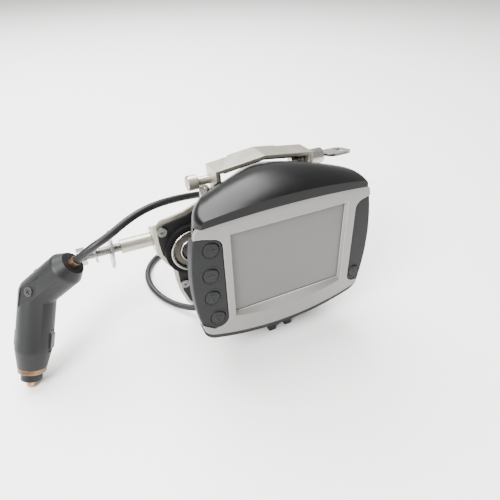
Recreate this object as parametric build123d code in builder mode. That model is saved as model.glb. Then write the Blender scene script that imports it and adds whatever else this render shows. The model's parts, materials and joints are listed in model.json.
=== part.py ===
from build123d import *
import math
import os

# Motorcycle satellite navigator, locked into a steel bracket, with its power lead.
# Millimetres. +X runs to the right along the screen, +Y to the back, +Z up.
# The origin is on the floor, below the middle of the display, at the front edge of the foot.

# ---------------------------------------------------------------- frame of the leaning unit
LEAN = 5.0                                # the screen leans back this many degrees
SCREEN_Y, SCREEN_Z = -5.0, 68.7           # centre of the display
COS = math.cos(math.radians(LEAN))
SIN = math.sin(math.radians(LEAN))
FRONT = Plane(origin=(0, SCREEN_Y, SCREEN_Z), x_dir=(1, 0, 0), z_dir=(0, -COS, SIN))

# ---------------------------------------------------------------- navigator
MID_X = -2.2                              # middle of the case; the left grip is the wider one
HALF_W = 58.7                             # half the case's width at screen height
HALF_W_TOP, CORNER_TOP = 53.6, 36.0       # upper corners of the face
HALF_W_LOW, CORNER_LOW = 54.4, -37.6      # lower corners of the face
FACE_TOP, FACE_LOW = 38.2, -46.8          # crown and sill of the face on the centre line
BEZEL_FRONT, BEZEL_BACK = -2.6, 2.0       # depths behind the glass
BEZEL_STEP = -0.5
GRIP_WRAP = 2.2                           # rubber thickness round the sides
GRIP_FRONT, GRIP_BACK = -2.0, 5.0
CASE_FRONT, CASE_STRAIGHT, CASE_BACK = 2.1, 5.0, 36.0
CASE_SILL = -50.6
CHIN_FRONT, CHIN_DROP = -1.0, 3.8         # black edge of the case that shows below the bezel
TRIM_H, TRIM_W, TRIM_BACK = 2.4, 2.6, 26.0  # silver strips along the parting line
CASE_TOP = 28.0                           # parting line between hood and rear housing
TOP_DRAFT = 3.1                           # the sides lean in this much up to the parting line
WALL = 2.0
HOOD_FRONT, HOOD_BACK = -4.6, 46.0
VIEW_W, VIEW_H = 72.8, 54.8               # visible window
GLASS_W, GLASS_H, GLASS_T = 77.0, 59.0, 1.1
LCD_W, LCD_H, LCD_T = 75.0, 57.0, 4.2
KEY_R, KEY_FRONT, KEY_BACK = 4.4, -2.7, 1.3
KEY_CLEAR = 0.35
KEYS = {
    "key_zoom_in": (-48.4, 21.4),
    "key_zoom_out": (-50.0, 5.2),
    "key_page": (-50.4, -10.1),
    "key_voice": (-48.5, -26.0),
}
POWER_KEY = (48.1, -25.6)
POWER_R = 3.8
BOARD_T = 1.6

# ---------------------------------------------------------------- cradle and bracket
CRADLE_FRONT, CRADLE_BACK = 36.4, 45.3
CRADLE_HALF_W = 27.0
FOOT_HALF_W, SLOT_HALF_W = 8.8, 3.7
SLOT_TOP, SLOT_FLOOR = -50.8, -64.6
FOOT_NEAR, FOOT_FAR = 10.3, 22.3          # depths of the foot blocks
ARM_HALF_W, ARM_NEAR = 12.0, 20.5
ARM_TOP, ARM_LOW = -51.2, -61.0
PLATE_NEAR, PLATE_T = 45.5, 2.0
PANEL_T = 1.2
DISC_X, DISC_Z = -47.0, -4.5
SHEET = 2.0                               # bracket sheet thickness
HINGE_Y, HINGE_Z = 41.5, 40.9             # strap hinge and lock share this axis
STRAP_LEFT, STRAP_RIGHT = -31.0, 33.0
STRAP_NEAR, STRAP_FAR = 30.0, 47.5
STRAP_SHOULDER, STRAP_CROWN = 49.2, 53.0
STRAP_LOW = 36.2

# ---------------------------------------------------------------- handlebar rod
ROD_Y, ROD_Z = 60.0, 0.0
ROD_D = 6.0
ROD_RIGHT, ROD_LEFT = -48.0, -116.5
TUBE_RIGHT, TUBE_LEFT, TUBE_D = -69.3, -89.0, 9.0
WASHER_X, WASHER_D, WASHER_T, WASHER_TILT = -95.0, 24.0, 1.5, 7.0
SMALL_WASHER_X, SMALL_WASHER_D = -104.5, 12.0
NUT_LEFT, NUT_RIGHT, NUT_AF = -115.0, -110.0, 10.0

# ---------------------------------------------------------------- power lead
CORD_D = 4.5
PLUG_TIP = Vector(-161.6, 24.0, 2.6)
PLUG_BEND = Vector(-141.4, 47.7, 51.6)
PLUG_END = Vector(-117.0, 40.6, 71.1)
PLUG_R = 10.5
GLAND_FACE_X = -22.0
CORD_LIE = CORD_D / 2 + 0.05              # height of the cord's axis where it lies down
CORD_ROUTE = [
    (-95.5, 38.0, 84.2),
    (-80.5, 44.0, 89.5),
    (-67.0, 50.0, 90.4),
    (-53.5, 55.0, 88.7),
    (-39.0, 60.5, 85.2),
    (-22.0, 68.0, 79.2),
    (-4.5, 77.0, 68.7),
    (8.0, 88.0, 53.7),
    (13.0, 99.0, 36.0),
    (8.0, 109.0, 19.0),
    (-7.0, 116.0, 7.5),
    (-26.0, 119.0, 2.9),
    (-46.0, 118.0, CORD_LIE),
    (-62.0, 111.0, CORD_LIE),
    (-72.5, 97.0, CORD_LIE),
    (-74.5, 80.0, CORD_LIE),
    (-70.0, 63.0, CORD_LIE),
    (-61.0, 48.0, 2.9),
    (-49.0, 35.5, 6.4),
]
CORD_LEAD_OUT = 13.0                      # straight stretch out of the plug

os.makedirs("parts", exist_ok=True)


def at_depth(depth):
    """Plane parallel to the screen, depth behind it; sketch x right, y up the screen."""
    return FRONT.offset(-depth)


def at_height(height):
    """Plane square to the screen and level with its rows; sketch x right, y to the back."""
    origin = FRONT.from_local_coords(Vector(0, height, 0))
    return Plane(origin=origin, x_dir=(1, 0, 0), z_dir=(0, SIN, COS))


def across(x):
    """Plane square to the screen's rows; sketch x to the back, y up the screen."""
    origin = FRONT.from_local_coords(Vector(x, 0, 0))
    return Plane(origin=origin, x_dir=(0, COS, -SIN), z_dir=(1, 0, 0))


def save(piece, name):
    """Label one finished piece and write it as its own node."""
    piece.part.label = name
    export_step(piece.part, f"parts/{name}.step")


def case_outline(inset, sill, crown, crown_corner=CORNER_TOP):
    """Face outline of the case: four shallow arcs with rounded corners."""
    top_left = (MID_X - HALF_W_TOP + inset, crown_corner)
    top_right = (MID_X + HALF_W_TOP - inset, crown_corner)
    low_left = (MID_X - HALF_W_LOW + inset, CORNER_LOW + sill - FACE_LOW)
    low_right = (MID_X + HALF_W_LOW - inset, CORNER_LOW + sill - FACE_LOW)
    with BuildSketch() as outline:
        with BuildLine():
            ThreePointArc(top_left, (MID_X, crown), top_right)
            ThreePointArc(top_right, (MID_X + HALF_W - inset, -1.0), low_right)
            ThreePointArc(low_right, (MID_X, sill), low_left)
            ThreePointArc(low_left, (MID_X - HALF_W + inset, -1.0), top_left)
        make_face()
        fillet(outline.vertices().group_by(Axis.Y)[-1], radius=5.0)
        fillet(outline.vertices().group_by(Axis.Y)[0], radius=10.0)
    return outline.sketch


def flat_top_outline(half_w, half_w_low, low_corner, sill, corner_r, top=CASE_TOP):
    """Outline of the rear housing below the hood: straight top, arched sides and sill."""
    with BuildSketch() as outline:
        with BuildLine():
            Line((MID_X - half_w + TOP_DRAFT, top), (MID_X + half_w - TOP_DRAFT, top))
            ThreePointArc(
                (MID_X + half_w - TOP_DRAFT, top),
                (MID_X + half_w, -1.0),
                (MID_X + half_w_low, low_corner),
            )
            ThreePointArc(
                (MID_X + half_w_low, low_corner), (MID_X, sill), (MID_X - half_w_low, low_corner)
            )
            ThreePointArc(
                (MID_X - half_w_low, low_corner),
                (MID_X - half_w, -1.0),
                (MID_X - half_w + TOP_DRAFT, top),
            )
        make_face()
        fillet(outline.vertices().group_by(Axis.Y)[0], radius=corner_r)
    return outline.sketch


def hood_section(half_w, half_w_top, shoulder, crown, corner_r, base=CASE_TOP):
    """One upright section of the hood: flat base, leaning sides and an arched crown."""
    with BuildSketch() as section:
        with BuildLine():
            Line((MID_X - half_w, base), (MID_X + half_w, base))
            Line((MID_X + half_w, base), (MID_X + half_w_top, shoulder))
            ThreePointArc(
                (MID_X + half_w_top, shoulder), (MID_X, crown), (MID_X - half_w_top, shoulder)
            )
            Line((MID_X - half_w_top, shoulder), (MID_X - half_w, base))
        make_face()
        fillet(section.vertices().group_by(Axis.Y)[-1], radius=corner_r)
    return section.sketch


def grip_area(side):
    """Area of the face covered by one rubber grip; side is -1 for left and 1 for right."""
    inner = -41.8 if side < 0 else 43.2
    outer = side * 75.0
    shelf = inner + side * 11.0
    with BuildSketch() as area:
        with BuildLine():
            Polyline(
                (inner, 26.4),
                (shelf, 29.6),
                (outer, 32.6),
                (outer, -20.0),
                (MID_X + side * (HALF_W - 0.5), -27.0),
                (inner + side * 9.5, -34.2),
                (inner, -33.4),
                close=True,
            )
        make_face()
        inner_corners = area.vertices().sort_by(Axis.X, reverse=side < 0)[:2]
        fillet(inner_corners, radius=6.0)
    return area.sketch


# ================================================================ navigator: outside
# Bezel: one silver moulding that frames the window and runs out to four ears.
TRIM_LINE = [
    (53.2, 1.5), (50.6, 14.0), (44.2, TRIM_BACK), (44.2 - TRIM_W, TRIM_BACK),
    (50.6 - TRIM_W, 13.0), (53.2 - TRIM_W, 1.5),
]
with BuildPart() as front_bezel:
    with BuildSketch(at_depth(BEZEL_STEP)):
        add(case_outline(0.0, FACE_LOW, FACE_TOP))
        for grip_side in (-1, 1):
            add(grip_area(grip_side), mode=Mode.SUBTRACT)
    extrude(amount=BEZEL_STEP - BEZEL_FRONT)
    chamfer(front_bezel.faces().sort_by(Axis.Y)[0].outer_wire().edges(), length=0.7)
    with BuildSketch(at_depth(BEZEL_STEP)):
        add(case_outline(GRIP_WRAP + 0.1, FACE_LOW + 0.3, FACE_TOP - 0.3))
        for grip_side in (-1, 1):
            add(grip_area(grip_side), mode=Mode.SUBTRACT)
    extrude(amount=BEZEL_STEP)
    with BuildSketch(at_depth(BEZEL_BACK)):
        add(case_outline(GRIP_WRAP + 0.1, FACE_LOW + 0.3, FACE_TOP - 0.3))
    extrude(amount=BEZEL_BACK)
    # window with a sloping surround that is deepest, like a lens, below the display
    with BuildSketch(at_depth(BEZEL_STEP + 0.01)):
        Rectangle(VIEW_W, VIEW_H)
    with BuildSketch(at_depth(BEZEL_FRONT - 0.01)) as window_rim:
        with BuildLine():
            Line((-37.6, 28.2), (37.6, 28.2))
            Line((37.6, 28.2), (37.6, -29.4))
            ThreePointArc((37.6, -29.4), (0, -34.6), (-37.6, -29.4))
            Line((-37.6, -29.4), (-37.6, 28.2))
        make_face()
    loft(ruled=True, mode=Mode.SUBTRACT)
    with BuildSketch(at_depth(BEZEL_STEP)):
        Rectangle(VIEW_W, VIEW_H)
    extrude(amount=-6, both=True, mode=Mode.SUBTRACT)
    with BuildSketch(at_depth(BEZEL_STEP)):
        Rectangle(GLASS_W + 0.6, GLASS_H + 0.6)
    extrude(amount=-6, mode=Mode.SUBTRACT)
    with BuildSketch(at_depth(BEZEL_BACK + 1)):
        with Locations(*KEYS.values()):
            Circle(KEY_R + 1.5)
        with Locations(POWER_KEY):
            Circle(POWER_R + 1.5)
    extrude(amount=BEZEL_BACK + 1.1, mode=Mode.SUBTRACT)
    # silver strips that run back along the parting line on both sides
    for trim_side in (-1, 1):
        with BuildSketch(at_height(CASE_TOP + 0.1)):
            with BuildLine():
                Polyline(*[(MID_X + trim_side * x, depth) for x, depth in TRIM_LINE], close=True)
            make_face()
        extrude(amount=TRIM_H)
save(front_bezel, "front_bezel")

# Rubber grips: a pad on the face that wraps round the side of the case.
for grip_side, grip_name in ((-1, "left_grip"), (1, "right_grip")):
    with BuildPart() as grip:
        with BuildSketch(at_depth(0)):
            add(case_outline(0.0, FACE_LOW, FACE_TOP))
            add(grip_area(grip_side), mode=Mode.INTERSECT)
            offset(amount=-0.08)
        extrude(amount=-GRIP_FRONT)
        with BuildSketch(at_depth(GRIP_BACK)):
            add(case_outline(0.0, FACE_LOW, FACE_TOP))
            add(case_outline(GRIP_WRAP, FACE_LOW, FACE_TOP), mode=Mode.SUBTRACT)
            with Locations((grip_side * 60, (CASE_TOP - 30) / 2)):
                Rectangle(30, CASE_TOP + 30 - 0.4, mode=Mode.INTERSECT)
        extrude(amount=GRIP_BACK)
        face_edges = grip.faces().filter_by(Axis((0, 0, 0), (0, -COS, SIN))).sort_by(Axis.Y)[0]
        chamfer(face_edges.outer_wire().edges(), length=0.5)
        with BuildSketch(at_depth(1)):
            if grip_side < 0:
                with Locations(*KEYS.values()):
                    Circle(KEY_R + KEY_CLEAR)
            else:
                with Locations(POWER_KEY):
                    Circle(POWER_R + KEY_CLEAR)
        extrude(amount=8, mode=Mode.SUBTRACT)
    save(grip, grip_name)

# Keys: rubber caps with a flange behind the grip, pressed towards the back.
for key_name, key_spot in {**KEYS, "key_power": POWER_KEY}.items():
    key_r = POWER_R if key_name == "key_power" else KEY_R
    flange_r = key_r + (0.3 if key_name == "key_power" else 1.0)
    with BuildPart() as key:
        with BuildSketch(at_depth(KEY_BACK)):
            with Locations(key_spot):
                Circle(key_r)
        extrude(amount=KEY_BACK - KEY_FRONT)
        fillet(key.edges().filter_by(GeomType.CIRCLE).sort_by(Axis.Y)[0], radius=0.8)
        with BuildSketch(at_depth(1.0)):
            with Locations(key_spot):
                Circle(flange_r)
        extrude(amount=0.8)
    save(key, key_name)

# Hood: glossy visor over the screen that runs back over the top of the case.
HOOD_SHAPE = [
    # depth, half width, half width at shoulder, shoulder, crown, corner radius
    (HOOD_FRONT, 51.6, 50.2, 40.2, 44.0, 2.6),
    (2.0, 54.0, 51.6, 41.4, 47.8, 6.0),
    (14.0, 50.5, 47.0, 42.6, 51.2, 7.5),
    (26.0, 44.0, 34.6, 41.0, 50.2, 11.0),
    (38.0, 31.0, 20.6, 38.4, 46.6, 11.0),
    (HOOD_BACK, 20.0, 12.0, 35.5, 41.4, 7.0),
]
HOOD_BASE = CASE_TOP + TRIM_H + 0.2
with BuildPart() as hood:
    for depth, half_w, half_w_top, shoulder, crown, corner_r in HOOD_SHAPE:
        with BuildSketch(at_depth(depth)):
            add(hood_section(half_w, half_w_top, shoulder, crown, corner_r, HOOD_BASE))
    loft()
    for depth, half_w, half_w_top, shoulder, crown, corner_r in HOOD_SHAPE[1:-1]:
        with BuildSketch(at_depth(min(depth, CASE_BACK))):
            add(
                hood_section(
                    half_w - WALL, half_w_top - WALL, shoulder - WALL, crown - WALL,
                    corner_r - WALL, CASE_TOP - 1,
                )
            )
    loft(mode=Mode.SUBTRACT)
    with BuildSketch(at_depth(HOOD_BACK - 3)):
        with Locations((MID_X, CASE_TOP + 6)):
            Rectangle(22, 6)
    extrude(amount=HOOD_BACK - 3 - CASE_BACK + 1, mode=Mode.SUBTRACT)
    with BuildSketch(at_depth(CASE_FRONT - 0.1)):
        add(case_outline(-0.2, FACE_LOW - 0.2, FACE_TOP + 0.1))
    extrude(amount=12, mode=Mode.SUBTRACT)
save(hood, "hood")

# Rear housing: straight behind the bezel, then drawn in towards a flat back.
CASE_SHAPE = [
    # depth, half width, half width low, low corner, sill, corner radius
    (CASE_STRAIGHT, 56.3, 50.6, -41.6, CASE_SILL, 10.0),
    (13.0, 54.0, 49.0, -41.0, -50.2, 10.0),
    (24.0, 49.6, 45.0, -38.0, -46.5, 10.0),
    (32.0, 42.8, 38.0, -33.0, -40.0, 9.0),
    (CASE_BACK, 37.0, 33.0, -28.0, -33.0, 8.0),
]


def case_shell(inset, back):
    """Solid of the rear housing, drawn in by inset on all sides; inset 0 is its outside."""
    top = CASE_TOP + (1 if inset else 0)
    front = CASE_SHAPE[0][1:]
    with BuildPart() as shell:
        with BuildSketch(at_depth(CASE_STRAIGHT)):
            half_w, half_low, corner, sill, corner_r = front
            add(
                flat_top_outline(
                    half_w - inset, half_low - inset, corner + inset, sill + inset,
                    corner_r - inset, top,
                )
            )
        extrude(amount=CASE_STRAIGHT - CASE_FRONT + inset)
        for depth, half_w, half_low, corner, sill, corner_r in CASE_SHAPE:
            with BuildSketch(at_depth(min(depth, back))):
                add(
                    flat_top_outline(
                        half_w - inset, half_low - inset, corner + inset, sill + inset,
                        corner_r - inset, top,
                    )
                )
        loft()
    return shell.part


with BuildPart() as rear_housing:
    add(case_shell(0.0, CASE_BACK))
    # chin that reaches forward below the bezel
    with BuildSketch(at_depth(CASE_STRAIGHT)):
        add(case_outline(0.0, FACE_LOW - CHIN_DROP, FACE_TOP))
        add(case_outline(-0.3, FACE_LOW - 0.3, FACE_TOP + 0.3), mode=Mode.SUBTRACT)
        with Locations((MID_X, -50.0)):
            Rectangle(140.0, 36.0, mode=Mode.INTERSECT)
    extrude(amount=CASE_STRAIGHT - CHIN_FRONT)
    add(case_shell(WALL, CASE_BACK - WALL), mode=Mode.SUBTRACT)
    with BuildSketch(at_depth(CASE_BACK + 1)):
        with Locations((MID_X, 0)):
            Rectangle(50.0, 38.0)
    extrude(amount=6, mode=Mode.SUBTRACT)
save(rear_housing, "rear_housing")

# ================================================================ navigator: inside
def block(name, x, z, wide, high, near, thick, corner=0.0):
    """A flat block parallel to the screen, written as a node of its own."""
    with BuildPart() as piece:
        with BuildSketch(at_depth(near + thick)):
            with Locations((x, z)):
                if corner:
                    RectangleRounded(wide, high, corner)
                else:
                    Rectangle(wide, high)
        extrude(amount=thick)
    save(piece, name)


with BuildPart() as screen_gasket:
    with BuildSketch(at_depth(-0.05)):
        Rectangle(GLASS_W, GLASS_H)
        Rectangle(VIEW_W + 0.8, VIEW_H + 0.8, mode=Mode.SUBTRACT)
    extrude(amount=-BEZEL_STEP - 0.05)
save(screen_gasket, "screen_gasket")

block("touch_glass", 0, 0, GLASS_W, GLASS_H, 0, GLASS_T)
block("lcd_module", 0, 0, LCD_W, LCD_H, GLASS_T + 0.1, LCD_T)

BOARD_NEAR = 9.0
with BuildPart() as main_board:
    with BuildSketch(at_depth(BOARD_NEAR + BOARD_T)):
        with Locations((MID_X, -5.0)):
            RectangleRounded(98.0, 60.0, 3.0)
    extrude(amount=BOARD_T)
    with BuildSketch(at_depth(BOARD_NEAR + BOARD_T)):
        with Locations((-22.0, 6.0), (10.0, -4.0)):
            Rectangle(16.0, 16.0)
        with Locations((30.0, -22.0), (-30.0, -22.0), (32.0, 12.0)):
            Rectangle(9.0, 6.0)
    extrude(amount=-1.8)
save(main_board, "main_board")

with BuildPart() as gps_antenna:
    with BuildSketch(at_height(32.0)):
        with Locations((MID_X, 22.0)):
            Rectangle(25.0, 25.0)
    extrude(amount=4.0)
    with BuildSketch(at_height(31.0)):
        with Locations((MID_X, 22.0)):
            Rectangle(30.0, 28.0)
    extrude(amount=1.0)
save(gps_antenna, "gps_antenna")

SWITCH_NEAR, SWITCH_DOME = 4.4, 1.0
with BuildPart() as key_boards:
    with BuildSketch(at_depth(SWITCH_NEAR + 1.2)):
        with Locations((-47.5, -2.0)):
            RectangleRounded(11.0, 54.0, 2.0)
        with Locations((45.7, POWER_KEY[1])):
            RectangleRounded(6.0, 6.6, 1.0)
    extrude(amount=1.2)
    with BuildSketch(at_depth(SWITCH_NEAR)):
        with Locations(*KEYS.values()):
            Circle(2.5)
        with Locations((46.6, POWER_KEY[1])):
            Circle(2.0)
    extrude(amount=SWITCH_DOME)
save(key_boards, "key_boards")

block("battery", MID_X, 0, 46.0, 34.0, 22.0, 10.0, 2.0)
with BuildPart() as battery_cover:
    with BuildSketch(at_depth(CASE_BACK)):
        with Locations((MID_X, 0)):
            RectangleRounded(49.6, 37.6, 2.0)
    extrude(amount=WALL)
save(battery_cover, "battery_cover")

CASE_SCREWS = [(-31.0, 20.0), (28.6, 20.0), (-31.0, -22.0), (28.6, -22.0)]
with BuildPart() as case_screws:
    with BuildSketch(at_depth(CASE_BACK - WALL - 0.1)):
        with Locations(*CASE_SCREWS):
            Circle(1.2)
    extrude(amount=9.0)
    with BuildSketch(at_depth(CASE_BACK - WALL - 0.1)):
        with Locations(*CASE_SCREWS):
            Circle(2.2)
    extrude(amount=1.6)
save(case_screws, "case_screws")

# ================================================================ cradle
CONTACT_Z = -24.0
PIN_SPOTS = [(-9.0 + 3.0 * column, CONTACT_Z) for column in range(7)]
PLATE_BOLTS = [(-19.0, 12.0), (19.0, 12.0), (-19.0, -18.0), (19.0, -18.0)]
PIN_R = 0.6
SEAT_DEEP = 5.0
LATCH_PIN_Y, LATCH_PIN_Z = 15.3, -57.5
with BuildPart() as cradle:
    with BuildSketch(at_depth(CRADLE_BACK)):
        with Locations((0, -12.0)):
            RectangleRounded(2 * CRADLE_HALF_W, 70.0, 5.0)
    extrude(amount=CRADLE_BACK - CRADLE_FRONT)
    # arm under the case
    with BuildSketch(across(0)):
        with Locations(((ARM_NEAR + CRADLE_BACK) / 2, (ARM_TOP + ARM_LOW) / 2)):
            Rectangle(CRADLE_BACK - ARM_NEAR, ARM_TOP - ARM_LOW)
        with Locations(((CRADLE_FRONT + CRADLE_BACK) / 2, ARM_LOW + 9.0)):
            Rectangle(CRADLE_BACK - CRADLE_FRONT, 18.0)
    extrude(amount=ARM_HALF_W, both=True)
    # two foot blocks that run down past the floor and are then trimmed level with it
    with BuildSketch(across(0)):
        with Locations(((FOOT_NEAR + FOOT_FAR) / 2, ARM_TOP - 11.0)):
            Rectangle(FOOT_FAR - FOOT_NEAR, 22.0)
    extrude(amount=FOOT_HALF_W, both=True)
    with BuildSketch(across(0)):
        with Locations((FOOT_NEAR + 3.0, (SLOT_TOP + SLOT_FLOOR) / 2)):
            Rectangle(14.0, SLOT_TOP - SLOT_FLOOR)
        with Locations((FOOT_NEAR - 0.5, SLOT_FLOOR - 4.0)):
            Rectangle(8.0, 9.0)
    extrude(amount=SLOT_HALF_W, both=True, mode=Mode.SUBTRACT)
    split(bisect_by=Plane.XY, keep=Keep.TOP)
    fillet(cradle.edges().filter_by(Axis.X).sort_by(Axis.Y)[:1], radius=1.0)
    # seat of the contact block
    with BuildSketch(at_depth(CRADLE_FRONT - 0.01)):
        with Locations((0, CONTACT_Z)):
            Rectangle(27.0, 8.6)
    extrude(amount=-SEAT_DEEP, mode=Mode.SUBTRACT)
    # blind holes for the plate's bolts
    with BuildSketch(at_depth(CRADLE_BACK)):
        with Locations(*PLATE_BOLTS):
            Circle(2.0)
    extrude(amount=7.0, mode=Mode.SUBTRACT)
    # cross hole of the latch pin
    with BuildSketch(across(-FOOT_HALF_W + 1)):
        with Locations((LATCH_PIN_Y, LATCH_PIN_Z)):
            Circle(1.0)
    extrude(amount=2 * FOOT_HALF_W - 2, mode=Mode.SUBTRACT)
save(cradle, "cradle")

with BuildPart() as release_latch:
    with BuildSketch(across(0)):
        with BuildLine():
            Polyline(
                (12.7, -52.0), (17.7, -52.0), (17.9, -60.6), (16.3, -64.2),
                (13.9, -64.2), (12.5, -59.5), close=True,
            )
        make_face()
        with Locations((LATCH_PIN_Y, LATCH_PIN_Z)):
            Circle(1.06, mode=Mode.SUBTRACT)
    extrude(amount=SLOT_HALF_W - 0.4, both=True)
save(release_latch, "release_latch")

with BuildPart() as latch_pin:
    with BuildSketch(across(-FOOT_HALF_W + 1)):
        with Locations((LATCH_PIN_Y, LATCH_PIN_Z)):
            Circle(1.0)
    extrude(amount=2 * FOOT_HALF_W - 2)
save(latch_pin, "latch_pin")

with BuildPart() as contact_block:
    with BuildSketch(at_depth(CRADLE_FRONT + SEAT_DEEP - 0.05)):
        with Locations((0, CONTACT_Z)):
            Rectangle(26.6, 8.2)
        with Locations(*PIN_SPOTS):
            Circle(PIN_R + 0.12, mode=Mode.SUBTRACT)
    extrude(amount=SEAT_DEEP - 0.15)
save(contact_block, "contact_block")

with BuildPart() as contact_pins:
    with BuildSketch(at_depth(40.2)):
        with Locations(*PIN_SPOTS):
            Circle(PIN_R)
    extrude(amount=4.0)
save(contact_pins, "contact_pins")

# ================================================================ bracket
HORN_LEFT = (-28.7, -22.7)
HORN_RIGHT = (24.7, 30.7)
HORN_TOP = 41.0
LUG_R = 5.6
SHANK_R = 2.5
BARREL_R, NECK_R, LOCK_BORE_R = 5.0, 3.6, 2.9
with BuildPart() as back_plate:
    with BuildSketch(at_depth(PLATE_NEAR + PLATE_T)) as plate_shape:
        with BuildLine():
            Polyline(
                (HORN_LEFT[0], HORN_TOP), (HORN_LEFT[1], HORN_TOP), (HORN_LEFT[1], 26.0),
                (HORN_RIGHT[0], 26.0), (HORN_RIGHT[0], HORN_TOP), (HORN_RIGHT[1], HORN_TOP),
                (HORN_RIGHT[1], 30.0), (38.0, 22.0), (40.0, 10.0), (40.0, -40.0),
                (30.0, -53.5), (22.0, -53.5), (22.0, -72.0), (-22.0, -72.0), (-22.0, -53.5),
                (-52.0, -53.5), (-55.5, -49.0), (-59.0, -38.0), (-60.5, -28.0), (-61.0, -18.0),
                (-65.0, -12.0), (-68.6, -5.0), (-69.5, 4.0), (-69.5, 13.5), (-64.0, 18.5),
                (-49.0, 21.5), (-39.0, 25.5), (-33.5, 33.0), (HORN_LEFT[0], 33.0), close=True,
            )
        make_face()
        fillet(plate_shape.vertices(), radius=1.8)
        with Locations(*PLATE_BOLTS):
            Circle(2.1, mode=Mode.SUBTRACT)
    extrude(amount=PLATE_T)
    # lugs that carry the strap's hinge screw and the lock
    for lug_x, hole_r in ((HORN_LEFT[0], SHANK_R), (HORN_RIGHT[1] - SHEET, NECK_R + 0.1)):
        with BuildSketch(across(lug_x)):
            with Locations((HINGE_Y, HINGE_Z)):
                Circle(LUG_R)
            with Locations(((HINGE_Y + PLATE_NEAR + 1.0) / 2, HORN_TOP - 3.2)):
                Rectangle(PLATE_NEAR + 1.0 - HINGE_Y, 6.4)
            with Locations((HINGE_Y, HINGE_Z)):
                Circle(hole_r, mode=Mode.SUBTRACT)
        extrude(amount=SHEET)
    split(bisect_by=Plane.XY, keep=Keep.TOP)
save(back_plate, "back_plate")

with BuildPart() as plate_bolts:
    with BuildSketch(at_depth(PLATE_NEAR + PLATE_T)):
        with Locations(*PLATE_BOLTS):
            Circle(2.0)
    extrude(amount=8.0)
    with BuildSketch(at_depth(PLATE_NEAR + PLATE_T)):
        with Locations(*PLATE_BOLTS):
            Circle(3.6)
    extrude(amount=-2.2)
    with BuildSketch(at_depth(PLATE_NEAR + PLATE_T + 2.2)):
        with Locations(*PLATE_BOLTS):
            RegularPolygon(1.6, 6)
    extrude(amount=1.4, mode=Mode.SUBTRACT)
save(plate_bolts, "plate_bolts")

PANEL_NEAR = PLATE_NEAR - PANEL_T
PANEL_SCREWS = [(-64.3, 12.4), (-55.4, -31.0)]
with BuildPart() as back_panel:
    with BuildSketch(at_depth(PLATE_NEAR)) as panel_shape:
        with BuildLine():
            Polyline(
                (-28.5, 24.0), (-39.5, 22.6), (-48.4, 18.8), (-63.2, 15.9), (-67.0, 12.4),
                (-67.0, 4.0), (-66.2, -4.5), (-62.9, -10.8), (-58.6, -17.4), (-58.2, -28.0),
                (-56.9, -37.5), (-53.6, -47.6), (-50.6, -51.0), (-28.5, -51.0), close=True,
            )
        make_face()
        fillet(panel_shape.vertices(), radius=1.6)
        with Locations(*PANEL_SCREWS):
            Circle(1.6, mode=Mode.SUBTRACT)
    extrude(amount=PANEL_T)
save(back_panel, "back_panel")

with BuildPart() as panel_screws:
    with BuildSketch(at_depth(PANEL_NEAR)):
        with Locations(*PANEL_SCREWS):
            Circle(2.9)
    extrude(amount=1.5)
    with BuildSketch(at_depth(PANEL_NEAR)):
        with Locations(*PANEL_SCREWS):
            Circle(1.5)
    extrude(amount=-PANEL_T)
    with BuildSketch(at_depth(PANEL_NEAR - 0.6)):
        with Locations(*PANEL_SCREWS):
            RegularPolygon(1.4, 6)
    extrude(amount=1, mode=Mode.SUBTRACT)
save(panel_screws, "panel_screws")

# Round vibration damper on the panel: rings of rubber and steel round a bolt head.
DAMPER_RINGS = {
    # name: (outer radius, inner radius, height above the panel)
    "damper_rubber": (18.0, 14.8, 3.4),
    "damper_rim": (14.7, 12.5, 4.6),
    "damper_washer": (12.4, 8.7, 3.0),
    "damper_sleeve": (8.6, 7.2, 4.0),
    "damper_core": (7.1, 0.0, 2.6),
}
for ring_name, (outer_r, inner_r, height) in DAMPER_RINGS.items():
    with BuildPart() as ring:
        with BuildSketch(at_depth(PANEL_NEAR)):
            with Locations((DISC_X, DISC_Z)):
                Circle(outer_r)
                if inner_r:
                    Circle(inner_r, mode=Mode.SUBTRACT)
        extrude(amount=height)
        chamfer(ring.edges().filter_by(GeomType.CIRCLE).group_by(Axis.Y)[0], length=0.4)
    save(ring, ring_name)

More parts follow.
